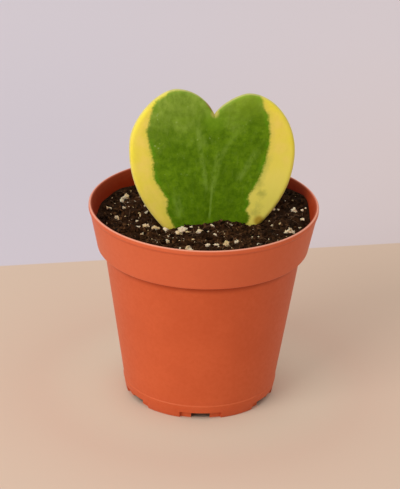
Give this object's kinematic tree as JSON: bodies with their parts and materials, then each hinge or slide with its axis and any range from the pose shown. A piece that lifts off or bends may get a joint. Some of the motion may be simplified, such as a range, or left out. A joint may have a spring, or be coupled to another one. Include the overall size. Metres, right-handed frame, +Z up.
{
  "type": "potted hoya plant",
  "caption": "Variegated heart-shaped hoya leaf rooted in crumbly potting mix with white perlite, in a tapered terracotta-coloured plastic nursery pot with a deep rim band.",
  "frame": {"origin": "centre of the pot's foot ring, on the surface that the pot stands on, which is the middle of the bottom of the bounding box", "axes": "+Z up out of the pot, along the longest extent; the leaf's front face looks towards -Y; +X to its right"},
  "size_m": [0.08, 0.08, 0.1116],
  "materials": {
    "pot_plastic": "satin",
    "potting_mix": "matte",
    "leaf_blade": "satin"
  },
  "bodies": {
    "root": {"pot": "pot_plastic", "potting_soil": "potting_mix", "leaf": "leaf_blade"}
  },
  "joints": []
}
